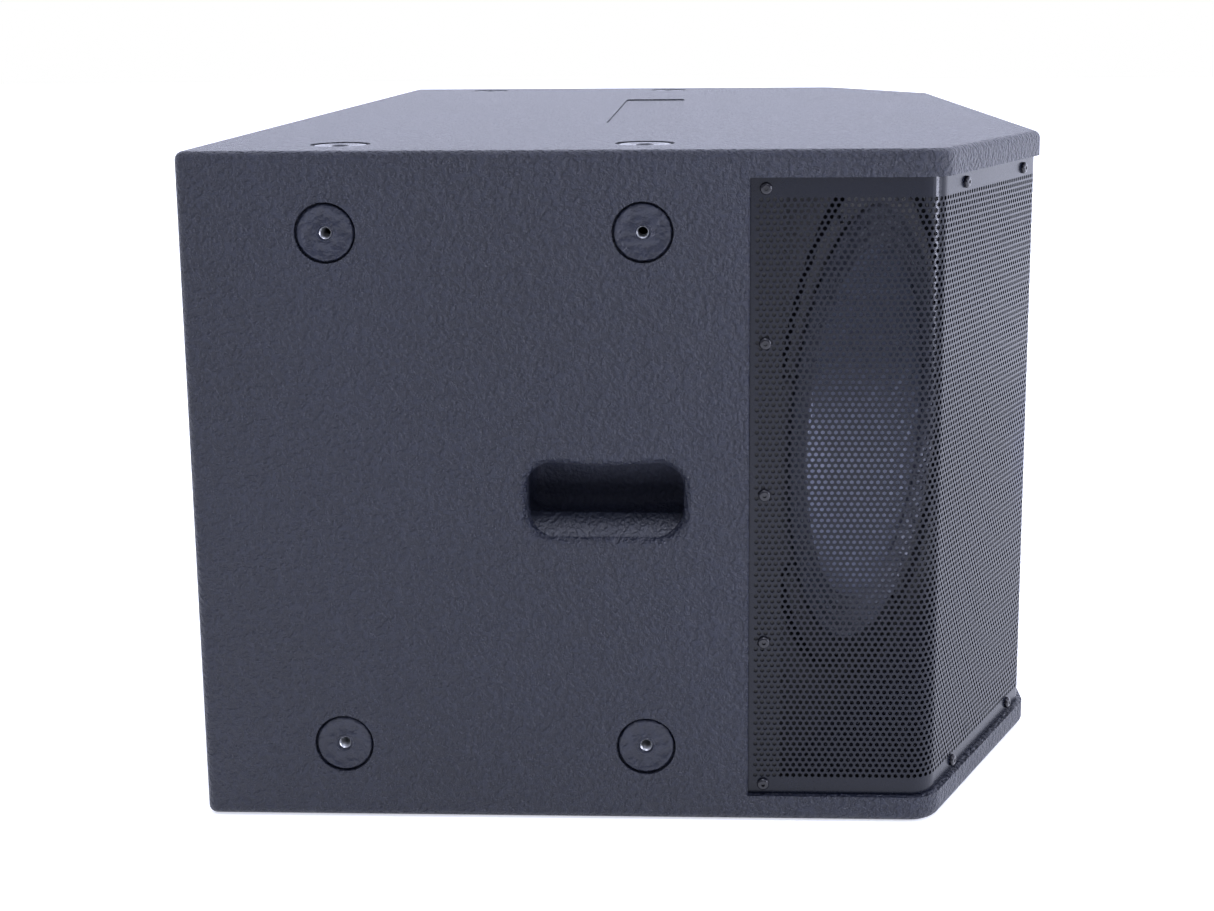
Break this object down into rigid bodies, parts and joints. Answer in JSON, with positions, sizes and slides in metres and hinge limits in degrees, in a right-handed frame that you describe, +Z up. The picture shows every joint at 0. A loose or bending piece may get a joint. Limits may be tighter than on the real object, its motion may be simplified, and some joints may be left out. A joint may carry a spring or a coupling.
{
  "type": "subwoofer cabinet",
  "caption": "Large plywood subwoofer cabinet with slanted front corners, wrap-round perforated steel grille, hand grips, rigging inserts and sprung driver cones.",
  "frame": {"origin": "centre of the cabinet's footprint, on the surface it stands on", "axes": "+X out of the grille (front), +Y towards one side, +Z up; the -Y side is called left"},
  "size_m": [0.72, 1.1, 0.56],
  "materials": {
    "coated_ply": "textured blue-grey polyurea coat on birch plywood",
    "coated_moulding": "moulded cup under the same textured coat",
    "bare_ply": "birch plywood, painted black",
    "grille_steel": "black powder-coated steel",
    "black_steel": "blackened steel",
    "coated_steel": "steel plates under a thin smooth coat",
    "zinc_steel": "zinc-plated steel",
    "black_plastic": "moulded plastic",
    "rubber_sheath": "matt rubber sheath",
    "wadding": "polyester wadding",
    "cast_frame": "die-cast aluminium, painted black",
    "foam": "closed-cell foam",
    "doped_cloth": "doped cotton cloth",
    "paper": "pressed paper pulp",
    "coil_wire": "wound copper-clad aluminium",
    "ferrite": "sintered ferrite"
  },
  "bodies": {
    "cabinet": {"back_plate_left": "zinc_steel", "back_plate_right": "zinc_steel", "baffle_left": "bare_ply", "baffle_right": "bare_ply", "basket_left": "cast_frame", "basket_right": "cast_frame", "bottom_panel": "coated_ply", "centre_rib": "bare_ply", "connector_plate": "grille_steel", "connector_screws": "black_steel", "driver_gasket_left": "foam", "driver_gasket_right": "foam", "driver_screws_left": "black_steel", "driver_screws_right": "black_steel", "grille": "grille_steel", "grille_battens_bottom": "bare_ply", "grille_battens_top": "bare_ply", "grille_posts": "bare_ply", "grille_screws": "black_steel", "grip_cup_left": "coated_moulding", "grip_cup_right": "coated_moulding", "grip_cup_screws": "black_steel", "lead_clips": "black_plastic", "lead_left": "rubber_sheath", "lead_right": "rubber_sheath", "magnet_left": "ferrite", "magnet_right": "ferrite", "port_shelf": "bare_ply", "port_wall_left": "bare_ply", "port_wall_right": "bare_ply", "rear_panel": "coated_ply", "rigging_inserts_left": "zinc_steel", "rigging_inserts_right": "zinc_steel", "rigging_inserts_top": "zinc_steel", "rigging_washers_left": "coated_steel", "rigging_washers_right": "coated_steel", "rigging_washers_top": "coated_steel", "side_panel_left": "coated_ply", "side_panel_right": "coated_ply", "socket_input": "black_plastic", "socket_link": "black_plastic", "spider_left": "doped_cloth", "spider_right": "doped_cloth", "surround_left": "doped_cloth", "surround_right": "doped_cloth", "terminal_left": "black_plastic", "terminal_right": "black_plastic", "top_panel": "coated_ply", "top_plate_left": "zinc_steel", "top_plate_right": "zinc_steel", "wadding_left": "wadding", "wadding_right": "wadding"},
    "cone_left": {"cone_left": "paper", "dust_cap_left": "paper", "voice_coil_left": "coil_wire"},
    "cone_right": {"cone_right": "paper", "dust_cap_right": "paper", "voice_coil_right": "coil_wire"}
  },
  "joints": [
    {"name": "cone_travel_left", "type": "slide", "parent": "cabinet", "child": "cone_left", "axis": [0.9063, -0.4226, 0], "range_m": [-0.009, 0.009], "stiffness_N_per_m": 9700, "deforming": ["surround_left", "spider_left"]},
    {"name": "cone_travel_right", "type": "slide", "parent": "cabinet", "child": "cone_right", "axis": [0.9063, 0.4226, 0], "range_m": [-0.009, 0.009], "stiffness_N_per_m": 9700, "deforming": ["surround_right", "spider_right"]}
  ]
}
